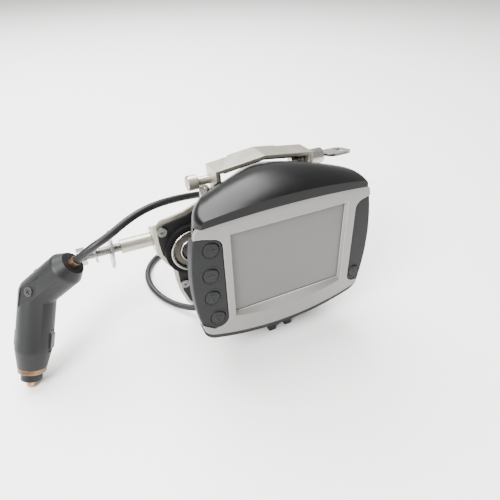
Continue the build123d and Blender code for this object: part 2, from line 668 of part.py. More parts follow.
# Locking strap: sheet bent over the hood, hinged on the axis through its two cheeks.
with BuildPart() as locking_strap:
    with BuildSketch(at_depth(STRAP_FAR)) as strap_shape:
        with BuildLine():
            Polyline(
                (STRAP_LEFT, STRAP_LOW), (STRAP_LEFT, STRAP_SHOULDER), (0.0, STRAP_CROWN),
                (STRAP_RIGHT, STRAP_SHOULDER), (STRAP_RIGHT, STRAP_LOW),
                (STRAP_RIGHT - SHEET, STRAP_LOW), (STRAP_RIGHT - SHEET, STRAP_SHOULDER - SHEET),
                (0.0, STRAP_CROWN - SHEET), (STRAP_LEFT + SHEET, STRAP_SHOULDER - SHEET),
                (STRAP_LEFT + SHEET, STRAP_LOW), close=True,
            )
        make_face()
        outer_bends = strap_shape.vertices().group_by(Axis.Y)[-2]
        fillet(outer_bends, radius=2.6)
    extrude(amount=STRAP_FAR - STRAP_NEAR)
    # cheeks are rounded off in front, below the top
    with BuildSketch(across(STRAP_LEFT - 1)):
        with BuildLine():
            Polyline(
                (STRAP_NEAR - 1, 33.0), (HINGE_Y - 5.5, 33.0), (HINGE_Y - 5.5, HINGE_Z - 2.0),
                (STRAP_NEAR - 1, STRAP_SHOULDER - 6.0), close=True,
            )
        make_face()
    extrude(amount=STRAP_RIGHT - STRAP_LEFT + 2, mode=Mode.SUBTRACT)
    # stepped rear edge
    with BuildSketch(at_height(STRAP_SHOULDER + 8)):
        with Locations((-24.0, STRAP_FAR)):
            Rectangle(14.0, 4.0)
        with Locations((24.0, STRAP_FAR)):
            Rectangle(18.0, 3.0)
    extrude(amount=-9.0, mode=Mode.SUBTRACT)
    with BuildSketch(across(STRAP_LEFT - 1)):
        with Locations((HINGE_Y, HINGE_Z)):
            Circle(SHANK_R + 0.15)
    extrude(amount=SHEET + 2, mode=Mode.SUBTRACT)
    with BuildSketch(across(STRAP_RIGHT + 1)):
        with Locations((HINGE_Y, HINGE_Z)):
            Circle(NECK_R + 0.15)
    extrude(amount=-SHEET - 2, mode=Mode.SUBTRACT)
save(locking_strap, "locking_strap")

with BuildPart() as pivot_screw:
    with BuildSketch(across(-45.5)):
        with Locations((HINGE_Y, HINGE_Z)):
            Circle(4.4)
    extrude(amount=6.5)
    chamfer(pivot_screw.edges().filter_by(GeomType.CIRCLE), length=0.5)
    with BuildSketch(across(-39.0)):
        with Locations((HINGE_Y, HINGE_Z)):
            Circle(SHANK_R)
    extrude(amount=HORN_LEFT[0] + SHEET + 39.0)
    with BuildSketch(across(-45.6)):
        with Locations((HINGE_Y, HINGE_Z)):
            Rectangle(1.2, 10.0)
    extrude(amount=1.8, mode=Mode.SUBTRACT)
save(pivot_screw, "pivot_screw")

CLAMP_X, CLAMP_Y = -35.5, 41.6
CLAMP_TOP, CLAMP_LOW, CLAMP_R = 37.2, 28.2, 3.0
with BuildPart() as clamp_block:
    with BuildSketch(at_height(22.0)):
        with Locations((CLAMP_X, (PLATE_NEAR + 38.4) / 2)):
            Rectangle(8.0, PLATE_NEAR - 38.4)
    extrude(amount=5.6)
    with BuildSketch(at_depth(PLATE_NEAR + 1)):
        with Locations((CLAMP_X, 22.6)):
            Rectangle(20, 4.0)
    extrude(amount=PANEL_T + 1.1, mode=Mode.SUBTRACT)
    with BuildSketch(at_height(22.0)):
        with Locations((CLAMP_X, CLAMP_Y)):
            Circle(1.6)
    extrude(amount=6, mode=Mode.SUBTRACT)
save(clamp_block, "clamp_block")

with BuildPart() as clamp_screw:
    with BuildSketch(at_height(CLAMP_LOW)):
        with Locations((CLAMP_X, CLAMP_Y)):
            Circle(CLAMP_R)
    extrude(amount=CLAMP_TOP - CLAMP_LOW)
    chamfer(clamp_screw.edges().filter_by(GeomType.CIRCLE), length=0.4)
    with BuildSketch(at_height(23.0)):
        with Locations((CLAMP_X, CLAMP_Y)):
            Circle(1.55)
    extrude(amount=CLAMP_LOW - 23.0)
save(clamp_screw, "clamp_screw")

# Rubber lining on the underside of the strap.
LINING_T = 1.2
with BuildPart() as strap_lining:
    with BuildSketch(at_depth(STRAP_FAR - 4.0)):
        with BuildLine():
            roof_left = (-25.5, STRAP_SHOULDER - SHEET + 0.44)
            roof_right = (24.0, STRAP_SHOULDER - SHEET + 0.8)
            Polyline(
                roof_left, (0.0, STRAP_CROWN - SHEET - 0.02), roof_right,
                (roof_right[0], roof_right[1] - LINING_T),
                (0.0, STRAP_CROWN - SHEET - LINING_T), (roof_left[0], roof_left[1] - LINING_T),
                close=True,
            )
        make_face()
    extrude(amount=STRAP_FAR - 4.0 - STRAP_NEAR - 1.5)
save(strap_lining, "strap_lining")

LOCK_END = 46.5
LOCK_START = HORN_RIGHT[1] - SHEET - 1.0
with BuildPart() as lock_barrel:
    with BuildSketch(across(STRAP_RIGHT + 0.4)):
        with Locations((HINGE_Y, HINGE_Z)):
            Circle(BARREL_R)
    extrude(amount=LOCK_END - STRAP_RIGHT - 0.4)
    chamfer(lock_barrel.edges().filter_by(GeomType.CIRCLE).sort_by(Axis.X)[-1], length=0.6)
    with BuildSketch(across(LOCK_START)):
        with Locations((HINGE_Y, HINGE_Z)):
            Circle(NECK_R)
    extrude(amount=STRAP_RIGHT + 0.4 - LOCK_START)
    with BuildSketch(across(LOCK_START - 1)):
        with Locations((HINGE_Y, HINGE_Z)):
            Circle(LOCK_BORE_R)
    extrude(amount=LOCK_END, mode=Mode.SUBTRACT)
save(lock_barrel, "lock_barrel")

KEY_T, KEY_BLADE_W, KEY_BLADE_END = 1.6, 4.6, 34.0
KEY_TILT = 10.0                           # the bow leans up towards the front
KEY_AXIS = Axis(FRONT.from_local_coords(Vector(0, HINGE_Z, -HINGE_Y)), (1, 0, 0))
with BuildPart() as lock_plug:
    with BuildSketch(across(LOCK_START - 2.4)):
        with Locations((HINGE_Y, HINGE_Z)):
            Circle(LOCK_BORE_R - 0.06)
    extrude(amount=LOCK_END + 0.4 - LOCK_START + 2.4)
    with BuildSketch(across(LOCK_END + 1)):
        with Locations(Location((HINGE_Y, HINGE_Z), -KEY_TILT)):
            Rectangle(KEY_BLADE_W + 0.3, KEY_T + 0.3)
    extrude(amount=KEY_BLADE_END - LOCK_END - 1.2, mode=Mode.SUBTRACT)
save(lock_plug, "lock_plug")

with BuildPart() as lock_key:
    with BuildSketch(across(KEY_BLADE_END)):
        with Locations(Location((HINGE_Y, HINGE_Z), -KEY_TILT)):
            Rectangle(KEY_BLADE_W, KEY_T)
    extrude(amount=17.0)
    # bow: stacked slices of a rounded plate, slotted for a key ring
    with BuildSketch(at_height(HINGE_Z - KEY_T / 2)) as bow_shape:
        with Locations((57.2, HINGE_Y)):
            RectangleRounded(18.0, 18.0, 5.5)
        with Locations((61.0, HINGE_Y)):
            SlotOverall(10.0, 3.4, rotation=90, mode=Mode.SUBTRACT)
    bow = extrude(bow_shape.sketch, amount=KEY_T, mode=Mode.PRIVATE)
    add(bow.rotate(KEY_AXIS, -KEY_TILT))
save(lock_key, "lock_key")

CAM_T = 2.2
with BuildPart() as lock_cam:
    with BuildSketch(across(LOCK_START - 2.4 - CAM_T)):
        with Locations((HINGE_Y, HINGE_Z)):
            Circle(3.0)
        with Locations((HINGE_Y, HINGE_Z + 2.1)):
            Rectangle(3.6, 4.2)
    extrude(amount=CAM_T)
save(lock_cam, "lock_cam")

# ================================================================ handlebar rod
def rod_plane(x):
    """Plane across the rod at x, its origin on the rod's axis."""
    section = across(x)
    return Plane(
        origin=section.from_local_coords(Vector(ROD_Y, ROD_Z, 0)),
        x_dir=section.x_dir,
        z_dir=section.z_dir,
    )


BOSS_FAR = 66.0
with BuildPart() as rod_boss:
    with BuildSketch(across(TUBE_RIGHT + 0.1)):
        with Locations(((PLATE_NEAR + PLATE_T + BOSS_FAR) / 2, ROD_Z)):
            RectangleRounded(BOSS_FAR - PLATE_NEAR - PLATE_T, 13.0, 1.5)
    extrude(amount=23.0)
    with BuildSketch(rod_plane(TUBE_RIGHT)):
        Circle(ROD_D / 2)
    extrude(amount=ROD_RIGHT - TUBE_RIGHT + 0.1, mode=Mode.SUBTRACT)
save(rod_boss, "rod_boss")

with BuildPart() as threaded_rod:
    with BuildSketch(rod_plane(ROD_LEFT)):
        Circle(ROD_D / 2)
    extrude(amount=ROD_RIGHT - ROD_LEFT)
    chamfer(threaded_rod.edges().filter_by(GeomType.CIRCLE), length=0.6)
save(threaded_rod, "threaded_rod")

with BuildPart() as spacer_tube:
    with BuildSketch(rod_plane(TUBE_LEFT)):
        Circle(TUBE_D / 2)
        Circle(ROD_D / 2 + 0.1, mode=Mode.SUBTRACT)
    extrude(amount=TUBE_RIGHT - TUBE_LEFT)
save(spacer_tube, "spacer_tube")

with BuildPart() as large_washer:
    with BuildSketch(rod_plane(WASHER_X).rotated((0, WASHER_TILT, 0))):
        Circle(WASHER_D / 2)
        Circle(ROD_D / 2 + 0.35, mode=Mode.SUBTRACT)
    extrude(amount=WASHER_T / 2, both=True)
save(large_washer, "large_washer")

with BuildPart() as small_washer:
    with BuildSketch(rod_plane(SMALL_WASHER_X)):
        Circle(SMALL_WASHER_D / 2)
        Circle(ROD_D / 2 + 0.2, mode=Mode.SUBTRACT)
    extrude(amount=0.7, both=True)
save(small_washer, "small_washer")

with BuildPart() as rod_nut:
    with BuildSketch(rod_plane(NUT_LEFT)):
        RegularPolygon(NUT_AF / 2, 6, major_radius=False)
        Circle(ROD_D / 2, mode=Mode.SUBTRACT)
    extrude(amount=NUT_RIGHT - NUT_LEFT)
save(rod_nut, "rod_nut")

# ================================================================ power lead
LOW_AXIS = (PLUG_BEND - PLUG_TIP).normalized()
HIGH_AXIS = (PLUG_END - PLUG_BEND).normalized()
LOW_LEN = (PLUG_BEND - PLUG_TIP).length
HIGH_LEN = (PLUG_END - PLUG_BEND).length
SIDEWAYS = Vector(0.905, -0.423, 0.0)
LOW_SIDE = LOW_AXIS.cross(SIDEWAYS).cross(LOW_AXIS).normalized()
PLUG_PLANE = Plane(origin=PLUG_TIP, x_dir=LOW_SIDE, z_dir=LOW_AXIS)
HIGH_UP = (LOW_AXIS - HIGH_AXIS * LOW_AXIS.dot(HIGH_AXIS)).normalized()
HIGH_PLANE = Plane(origin=PLUG_BEND, x_dir=HIGH_UP, z_dir=HIGH_AXIS)
BEND_NORMAL = HIGH_AXIS.cross(LOW_AXIS).normalized()
TIP_R = 2.6
COLLAR_R, COLLAR_FROM, COLLAR_TO = 6.0, 3.2, 8.5
RING_R, RING_TO = 8.0, 11.5
NOSE_R, NOSE_TO = 8.3, 24.0
CAVITY_R, CAVITY_TO = 4.2, 46.0
END_R, END_LEN = 7.2, 6.0
CONTACT_FROM, CONTACT_LEN, CONTACT_W = 22.5, 13.0, 4.0
CONTACT_IN, CONTACT_OUT = 8.4, 11.4
FERRULE_R, FERRULE_LEN = 3.0, 3.0


with BuildPart() as plug_shell:
    with BuildSketch(PLUG_PLANE.offset(RING_TO)):
        Circle(NOSE_R)
    with BuildSketch(PLUG_PLANE.offset(NOSE_TO)):
        Circle(PLUG_R)
    loft()
    with BuildSketch(PLUG_PLANE.offset(NOSE_TO)):
        Circle(PLUG_R)
    extrude(amount=LOW_LEN - NOSE_TO)
    with Locations(PLUG_BEND):
        Sphere(PLUG_R)
    with BuildSketch(HIGH_PLANE):
        Circle(PLUG_R)
    extrude(amount=HIGH_LEN - END_LEN)
    with BuildSketch(HIGH_PLANE.offset(HIGH_LEN - END_LEN)):
        Circle(PLUG_R)
    with BuildSketch(HIGH_PLANE.offset(HIGH_LEN)):
        Circle(END_R)
    loft()
    # diamond-shaped recess on the cheek of the bend
    with BuildSketch(Plane(origin=PLUG_BEND, x_dir=HIGH_AXIS, z_dir=BEND_NORMAL).offset(PLUG_R - 1.2)):
        with BuildLine():
            Polyline((-9.0, -3.0), (0.0, 5.0), (17.0, 3.0), (6.0, -5.5), close=True)
        make_face()
    extrude(amount=6, mode=Mode.SUBTRACT)
    with BuildSketch(PLUG_PLANE.offset(RING_TO - 1)):
        Circle(CAVITY_R)
    extrude(amount=CAVITY_TO - RING_TO + 1, mode=Mode.SUBTRACT)
    with BuildSketch(PLUG_PLANE.offset(CONTACT_FROM - 0.4)):
        Rectangle(4 * PLUG_R, CONTACT_W + 0.6)
        Rectangle(2 * (CONTACT_IN - 1.4), CONTACT_W + 0.6, mode=Mode.SUBTRACT)
    extrude(amount=CONTACT_LEN + 0.8, mode=Mode.SUBTRACT)
save(plug_shell, "plug_shell")

with BuildPart() as plug_tip:
    with Locations(PLUG_TIP):
        Sphere(TIP_R)
    with BuildSketch(PLUG_PLANE):
        Circle(TIP_R)
    extrude(amount=9.0)
    with BuildSketch(PLUG_PLANE.offset(9.0)):
        Circle(3.6)
    extrude(amount=1.5)
save(plug_tip, "plug_tip")

with BuildPart() as plug_collar:
    with BuildSketch(PLUG_PLANE.offset(COLLAR_FROM)):
        Circle(COLLAR_R)
        Circle(TIP_R + 0.1, mode=Mode.SUBTRACT)
    extrude(amount=COLLAR_TO - COLLAR_FROM)
    chamfer(plug_collar.edges().filter_by(GeomType.CIRCLE).group_by(Axis.Z)[0], length=0.5)
save(plug_collar, "plug_collar")

with BuildPart() as plug_ring:
    with BuildSketch(PLUG_PLANE.offset(COLLAR_TO)):
        Circle(RING_R)
        Circle(CAVITY_R - 0.3, mode=Mode.SUBTRACT)
    extrude(amount=RING_TO - COLLAR_TO)
save(plug_ring, "plug_ring")

with BuildPart() as plug_fuse:
    with BuildSketch(PLUG_PLANE.offset(14.0)):
        Circle(3.2)
    extrude(amount=30.0)
save(plug_fuse, "plug_fuse")

for contact_side, contact_name in ((-1, "plug_contact_left"), (1, "plug_contact_right")):
    with BuildPart() as side_contact:
        centre = contact_side * (CONTACT_IN + CONTACT_OUT) / 2
        with BuildSketch(PLUG_PLANE.offset(CONTACT_FROM)):
            with Locations((centre, 0)):
                Rectangle(CONTACT_OUT - CONTACT_IN, CONTACT_W)
        extrude(amount=CONTACT_LEN)
        outer_face = side_contact.faces().sort_by(Axis(PLUG_TIP, LOW_SIDE * contact_side))[-1]
        long_ends = outer_face.edges().sort_by(Axis(PLUG_TIP, LOW_AXIS))
        chamfer([long_ends[0], long_ends[-1]], length=2.0)
    save(side_contact, contact_name)

with BuildPart() as plug_led:
    led_spot = PLUG_BEND + HIGH_AXIS * 7.0 + HIGH_UP * PLUG_R
    with BuildSketch(Plane(origin=led_spot, x_dir=HIGH_AXIS, z_dir=HIGH_UP)):
        Circle(1.6)
    extrude(amount=0.9)
save(plug_led, "plug_led")

SCREW_SPOT = PLUG_BEND + HIGH_AXIS * 3.5 + BEND_NORMAL * (PLUG_R - 1.2)
with BuildPart() as plug_screw:
    with BuildSketch(Plane(origin=SCREW_SPOT, x_dir=HIGH_AXIS, z_dir=BEND_NORMAL)):
        Circle(2.7)
        Rectangle(3.4, 0.8, mode=Mode.SUBTRACT)
        Rectangle(0.8, 3.4, mode=Mode.SUBTRACT)
    extrude(amount=0.7)
save(plug_screw, "plug_screw")

with BuildPart() as plug_ferrule:
    with BuildSketch(HIGH_PLANE.offset(HIGH_LEN)):
        Circle(FERRULE_R)
    extrude(amount=FERRULE_LEN)
save(plug_ferrule, "plug_ferrule")

GLAND_Y, GLAND_HEIGHT = 38.0, -54.0
GLAND_END = across(GLAND_FACE_X).from_local_coords(Vector(GLAND_Y, GLAND_HEIGHT, 0))
with BuildPart() as cord_gland:
    with BuildSketch(across(-ARM_HALF_W)):
        with Locations((GLAND_Y, GLAND_HEIGHT)):
            Circle(4.6)
    with BuildSketch(across(GLAND_FACE_X)):
        with Locations((GLAND_Y, GLAND_HEIGHT)):
            Circle(3.2)
    loft()
save(cord_gland, "cord_gland")

# Power cord: straight runs joined by arcs as large as their runs allow.
cord_start = PLUG_END + HIGH_AXIS * FERRULE_LEN
cord_points = [cord_start, cord_start + HIGH_AXIS * CORD_LEAD_OUT]
cord_points += [Vector(*point) for point in CORD_ROUTE]
cord_points += [GLAND_END - Vector(14.0, 0, 0), GLAND_END]
cord_radii = []
for before, here, after in zip(cord_points, cord_points[1:], cord_points[2:]):
    turn = (here - before).get_angle(after - here)
    shorter = min((here - before).length, (after - here).length)
    cord_radii.append(0.45 * shorter / math.tan(math.radians(turn) / 2))
with BuildPart() as power_cord:
    with BuildLine() as cord_path:
        FilletPolyline(*cord_points, radius=cord_radii)
    with BuildSketch(Plane(origin=cord_start, z_dir=HIGH_AXIS)):
        Circle(CORD_D / 2)
    sweep(path=cord_path.wires()[0])
save(power_cord, "power_cord")
print("cord arc radii:", [round(radius, 1) for radius in cord_radii])
cord_length = sum(edge.length for edge in cord_path.edges())
print("cord length:", round(cord_length, 1))
print("cord volume ratio:", round(power_cord.part.volume / (math.pi * CORD_D**2 / 4 * cord_length), 4))
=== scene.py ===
"""Looks of a motorcycle satellite navigator, locked into a steel bracket, with its power lead."""

import json
import logging
import math
from dataclasses import dataclass, field
from enum import Enum

import bmesh
import bpy
from mathutils import Matrix, Vector


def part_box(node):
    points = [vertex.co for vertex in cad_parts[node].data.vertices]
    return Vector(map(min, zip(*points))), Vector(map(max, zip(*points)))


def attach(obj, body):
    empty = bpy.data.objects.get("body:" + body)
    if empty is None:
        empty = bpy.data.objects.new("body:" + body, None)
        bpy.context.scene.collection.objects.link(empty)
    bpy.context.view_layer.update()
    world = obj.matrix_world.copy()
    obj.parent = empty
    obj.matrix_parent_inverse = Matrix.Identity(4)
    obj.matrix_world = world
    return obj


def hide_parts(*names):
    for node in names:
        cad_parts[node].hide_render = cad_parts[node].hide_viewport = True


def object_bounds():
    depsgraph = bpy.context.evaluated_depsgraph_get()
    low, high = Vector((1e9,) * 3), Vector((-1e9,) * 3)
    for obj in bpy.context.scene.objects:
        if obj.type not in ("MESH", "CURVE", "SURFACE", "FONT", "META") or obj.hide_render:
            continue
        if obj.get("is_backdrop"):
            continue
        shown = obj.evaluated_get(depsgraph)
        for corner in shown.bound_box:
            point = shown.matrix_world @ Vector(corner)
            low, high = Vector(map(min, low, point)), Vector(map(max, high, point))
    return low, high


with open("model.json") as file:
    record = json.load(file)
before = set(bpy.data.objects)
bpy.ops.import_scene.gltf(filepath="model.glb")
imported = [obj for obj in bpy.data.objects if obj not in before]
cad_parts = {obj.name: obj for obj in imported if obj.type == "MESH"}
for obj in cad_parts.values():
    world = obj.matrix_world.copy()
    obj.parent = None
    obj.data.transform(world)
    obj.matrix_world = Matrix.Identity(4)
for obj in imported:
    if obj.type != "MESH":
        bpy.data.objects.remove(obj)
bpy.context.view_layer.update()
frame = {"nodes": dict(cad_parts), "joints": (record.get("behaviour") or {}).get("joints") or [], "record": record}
logging.basicConfig(level=logging.INFO, format="%(name)s: %(message)s")
LOG = logging.getLogger("navigator")
MM = 0.001
QUARTER_TURN = math.radians(90)
FULL_TURN = math.radians(360)
SHARP_FROM = math.radians(35)


# ------------------------------------------------------------------ the leaning frame
class Lean:
    """Directions of the leaning unit: across the screen, to its back and up its face."""

    def __init__(self) -> None:
        """Read the lean from the direction in which a key is pressed."""
        presses = [j for j in frame["joints"] if j["name"] == "key_zoom_in_press"]
        self.back = Vector(presses[0]["axis"]).normalized()
        self.across = Vector((1, 0, 0))
        self.up = self.across.cross(self.back)
        self.turn = Matrix((self.across, self.back, self.up))

    def local(self, point: Vector) -> Vector:
        """Return a row-frame point as (across, depth, height)."""
        return self.turn @ point

    def row(self, across: float, depth: float, height: float) -> Vector:
        """Return a leaning point in the row frame."""
        return self.turn.transposed() @ Vector((across, depth, height))

    def box(self, node: str) -> tuple[Vector, Vector]:
        """Measure a CAD node along the leaning directions.

        Args:
            node: name of the CAD node.

        Returns:
            Its lowest and highest corner as (across, depth, height).
        """
        points = [self.local(v.co) for v in frame["nodes"][node].data.vertices]
        low = Vector([min(p[i] for p in points) for i in range(3)])
        high = Vector([max(p[i] for p in points) for i in range(3)])
        return low, high

    def basis(self, origin: Vector) -> Matrix:
        """Return the 4x4 that puts a flat drawing (x across, y up, z to the viewer) at origin."""
        turn = Matrix((self.across, self.up, -self.back)).transposed().to_4x4()
        return Matrix.Translation(origin) @ turn


LEAN = Lean()


# ------------------------------------------------------------------ shader groups
class Group(Enum):
    """Shader groups that several finishes share."""

    GRAIN = "moulded_grain"
    SMUDGE = "handling_marks"
    EDGE = "edge_wear"
    BRUSH = "brushed_lines"


def new_group(name: str, inputs: dict[str, float], outputs: list[str]) -> bpy.types.NodeTree:
    """Start a shader group with float sockets.

    Args:
        name: the group's name.
        inputs: socket names with their default values.
        outputs: names of the float outputs.

    Returns:
        The group, with its input and output nodes in place.
    """
    tree = bpy.data.node_groups.new(name, "ShaderNodeTree")
    for socket_name, default in inputs.items():
        socket = tree.interface.new_socket(socket_name, in_out="INPUT", socket_type="NodeSocketFloat")
        socket.default_value = default
    for socket_name in outputs:
        tree.interface.new_socket(socket_name, in_out="OUTPUT", socket_type="NodeSocketFloat")
    tree.nodes.new("NodeGroupInput").name = "in"
    tree.nodes.new("NodeGroupOutput").name = "out"
    return tree


def math_node(
    tree: bpy.types.NodeTree,
    operation: str,
    first: bpy.types.NodeSocket | float,
    second: bpy.types.NodeSocket | float,
) -> bpy.types.NodeSocket:
    """Add a Math node.

    Args:
        tree: the tree that takes it.
        operation: the node's operation.
        first: its first operand.
        second: its second operand.

    Returns:
        Its output.
    """
    node = tree.nodes.new("ShaderNodeMath")
    node.operation = operation
    for socket, value in zip(node.inputs, (first, second)):
        if isinstance(value, bpy.types.NodeSocket):
            tree.links.new(value, socket)
        else:
            socket.default_value = value
    return node.outputs[0]


def noise_node(
    tree: bpy.types.NodeTree, vector: bpy.types.NodeSocket, **settings: float
) -> bpy.types.Node:
    """Add a Noise Texture that reads a vector, with its own settings, and return it."""
    node = tree.nodes.new("ShaderNodeTexNoise")
    for name, value in settings.items():
        node.inputs[name].default_value = value
    tree.links.new(vector, node.inputs["Vector"])
    return node


def object_coords(tree: bpy.types.NodeTree) -> bpy.types.NodeSocket:
    """Return the Object coordinates of a new Texture Coordinate node."""
    return tree.nodes.new("ShaderNodeTexCoord").outputs["Object"]


def grain_group() -> bpy.types.NodeTree:
    """Build the fine grain of moulded plastic and rubber: a height and a colour shift."""
    tree = new_group(Group.GRAIN.value, {"Scale": 900.0, "Roughness": 0.6}, ["Height", "Shift"])
    inp, out = tree.nodes["in"], tree.nodes["out"]
    coords = object_coords(tree)
    fine = noise_node(tree, coords, Detail=3.0)
    tree.links.new(inp.outputs["Scale"], fine.inputs["Scale"])
    tree.links.new(inp.outputs["Roughness"], fine.inputs["Roughness"])
    pits = tree.nodes.new("ShaderNodeTexVoronoi")
    tree.links.new(coords, pits.inputs["Vector"])
    tree.links.new(math_node(tree, "MULTIPLY", inp.outputs["Scale"], 1.7), pits.inputs["Scale"])
    pitting = math_node(tree, "MULTIPLY", pits.outputs["Distance"], 0.6)
    height = math_node(tree, "ADD", fine.outputs["Fac"], pitting)
    tree.links.new(height, out.inputs["Height"])
    cloud = noise_node(tree, coords, Scale=45.0, Detail=4.0)
    tree.links.new(math_node(tree, "SUBTRACT", cloud.outputs["Fac"], 0.5), out.inputs["Shift"])
    return tree


def smudge_group() -> bpy.types.NodeTree:
    """Build the marks that handling leaves: a mask of soft smears and fine scratches."""
    tree = new_group(Group.SMUDGE.value, {"Scale": 60.0, "Scratches": 0.3}, ["Mask"])
    inp, out = tree.nodes["in"], tree.nodes["out"]
    coords = object_coords(tree)
    smear = noise_node(tree, coords, Detail=5.0, Distortion=1.2)
    tree.links.new(inp.outputs["Scale"], smear.inputs["Scale"])
    stretch = tree.nodes.new("ShaderNodeMapping")
    stretch.inputs["Rotation"].default_value = (0.3, 0.5, 0.9)
    stretch.inputs["Scale"].default_value = (1.0, 22.0, 5.0)
    tree.links.new(coords, stretch.inputs["Vector"])
    lines = noise_node(tree, stretch.outputs["Vector"], Scale=130.0)
    thin = math_node(tree, "GREATER_THAN", lines.outputs["Fac"], 0.66)
    scratches = math_node(tree, "MULTIPLY", thin, inp.outputs["Scratches"])
    tree.links.new(math_node(tree, "ADD", smear.outputs["Fac"], scratches), out.inputs["Mask"])
    return tree


def edge_group() -> bpy.types.NodeTree:
    """Build a mask that is 1 on worn edges, broken up by noise."""
    tree = new_group(Group.EDGE.value, {"Width": 0.0006, "Amount": 1.0}, ["Mask"])
    inp, out = tree.nodes["in"], tree.nodes["out"]
    soft = tree.nodes.new("ShaderNodeBevel")
    soft.samples = 4
    tree.links.new(inp.outputs["Width"], soft.inputs["Radius"])
    geometry = tree.nodes.new("ShaderNodeNewGeometry")
    dot = tree.nodes.new("ShaderNodeVectorMath")
    dot.operation = "DOT_PRODUCT"
    tree.links.new(soft.outputs["Normal"], dot.inputs[0])
    tree.links.new(geometry.outputs["Normal"], dot.inputs[1])
    coords = object_coords(tree)
    patches = noise_node(tree, coords, Scale=220.0, Detail=4.0)
    bent = math_node(tree, "MULTIPLY", math_node(tree, "SUBTRACT", 1.0, dot.outputs["Value"]), 9.0)
    amount = math_node(tree, "MULTIPLY", patches.outputs["Fac"], inp.outputs["Amount"])
    broken = math_node(tree, "MULTIPLY", bent, amount)
    tree.links.new(math_node(tree, "MINIMUM", broken, 1.0), out.inputs["Mask"])
    return tree


def brush_group() -> bpy.types.NodeTree:
    """Build the fine parallel lines of rolled or turned metal: a height and a mask."""
    tree = new_group(Group.BRUSH.value, {"Across": 8.0, "Along": 260.0}, ["Height", "Mask"])
    inp, out = tree.nodes["in"], tree.nodes["out"]
    coords = object_coords(tree)
    parts = tree.nodes.new("ShaderNodeSeparateXYZ")
    tree.links.new(coords, parts.inputs["Vector"])
    join = tree.nodes.new("ShaderNodeCombineXYZ")
    for axis, stretch in (("X", "Across"), ("Y", "Along"), ("Z", "Along")):
        scaled = math_node(tree, "MULTIPLY", parts.outputs[axis], inp.outputs[stretch])
        tree.links.new(scaled, join.inputs[axis])
    lines = noise_node(tree, join.outputs["Vector"], Scale=9.0, Detail=6.0)
    tree.links.new(lines.outputs["Fac"], out.inputs["Height"])
    tree.links.new(math_node(tree, "SUBTRACT", lines.outputs["Fac"], 0.5), out.inputs["Mask"])
    return tree


GROUPS = {
    Group.GRAIN: grain_group(),
    Group.SMUDGE: smudge_group(),
    Group.EDGE: edge_group(),
    Group.BRUSH: brush_group(),
}


# ------------------------------------------------------------------ finishes
@dataclass(frozen=True)
class Finish:
    """One surface finish, made into a material with its own grain, marks and worn edges."""

    name: str
    colour: tuple[float, float, float]
    rough: float
    metal: float = 0.0
    marks: float = 0.12
    shift: float = 0.25
    grain_scale: float = 900.0
    grain_height: float = 0.00002
    brushed: float = 0.0
    edge_colour: tuple[float, float, float] | None = None
    edge_amount: float = 1.0
    coat: float = 0.0
    sheen: float = 0.0
    specular: float = 0.5
    alpha: float = 1.0

    def build(self) -> bpy.types.Material:
        """Make the material and return it."""
        material = bpy.data.materials.new(self.name)
        material.use_nodes = True
        tree = material.node_tree
        shader = tree.nodes["Principled BSDF"]
        shader.inputs["Metallic"].default_value = self.metal
        shader.inputs["Coat Weight"].default_value = self.coat
        shader.inputs["Coat Roughness"].default_value = 0.12
        shader.inputs["Sheen Weight"].default_value = self.sheen
        shader.inputs["Specular IOR Level"].default_value = self.specular
        shader.inputs["Alpha"].default_value = self.alpha
        self.tint(tree, shader)
        self.relief(tree, shader)
        return material

    def place(self, tree: bpy.types.NodeTree, group: Group, **values: float) -> bpy.types.Node:
        """Put a shared group into a material with its own values and return the node."""
        node = tree.nodes.new("ShaderNodeGroup")
        node.node_tree = GROUPS[group]
        for name, value in values.items():
            node.inputs[name].default_value = value
        return node

    def tint(self, tree: bpy.types.NodeTree, shader: bpy.types.Node) -> None:
        """Wire the colour: lighter and darker clouds, then bare edges."""
        grain = self.place(tree, Group.GRAIN, Scale=self.grain_scale)
        strength = math_node(tree, "MULTIPLY_ADD", grain.outputs["Shift"], self.shift)
        strength.node.inputs[2].default_value = 1.0
        scale = tree.nodes.new("ShaderNodeVectorMath")
        scale.operation = "SCALE"
        scale.inputs[0].default_value = self.colour
        tree.links.new(strength, scale.inputs["Scale"])
        colour = scale.outputs["Vector"]
        if self.edge_colour is not None:
            wear = self.place(tree, Group.EDGE, Amount=self.edge_amount)
            mix = tree.nodes.new("ShaderNodeMix")
            mix.data_type = "RGBA"
            tree.links.new(wear.outputs["Mask"], mix.inputs["Factor"])
            tree.links.new(colour, mix.inputs["A"])
            mix.inputs["B"].default_value = (*self.edge_colour, 1.0)
            colour = mix.outputs["Result"]
        tree.links.new(colour, shader.inputs["Base Color"])

    def relief(self, tree: bpy.types.NodeTree, shader: bpy.types.Node) -> None:
        """Wire the roughness and the bump from handling marks, grain and brushing."""
        marks = self.place(tree, Group.SMUDGE)
        centred = math_node(tree, "SUBTRACT", marks.outputs["Mask"], 0.5)
        spread = math_node(tree, "MULTIPLY", centred, self.marks)
        rough = math_node(tree, "ADD", spread, self.rough)
        grain = self.place(tree, Group.GRAIN, Scale=self.grain_scale)
        height = math_node(tree, "MULTIPLY", grain.outputs["Height"], self.grain_height / MM)
        if self.brushed:
            lines = self.place(tree, Group.BRUSH)
            streaks = math_node(tree, "MULTIPLY", lines.outputs["Mask"], 0.35)
            rough = math_node(tree, "ADD", rough, streaks)
            added = math_node(tree, "MULTIPLY", lines.outputs["Height"], self.brushed)
            height = math_node(tree, "ADD", height, added)
        tree.links.new(math_node(tree, "MAXIMUM", rough, 0.04), shader.inputs["Roughness"])
        bump = tree.nodes.new("ShaderNodeBump")
        bump.inputs["Strength"].default_value = 1.0
        bump.inputs["Distance"].default_value = MM
        tree.links.new(height, bump.inputs["Height"])
        tree.links.new(bump.outputs["Normal"], shader.inputs["Normal"])


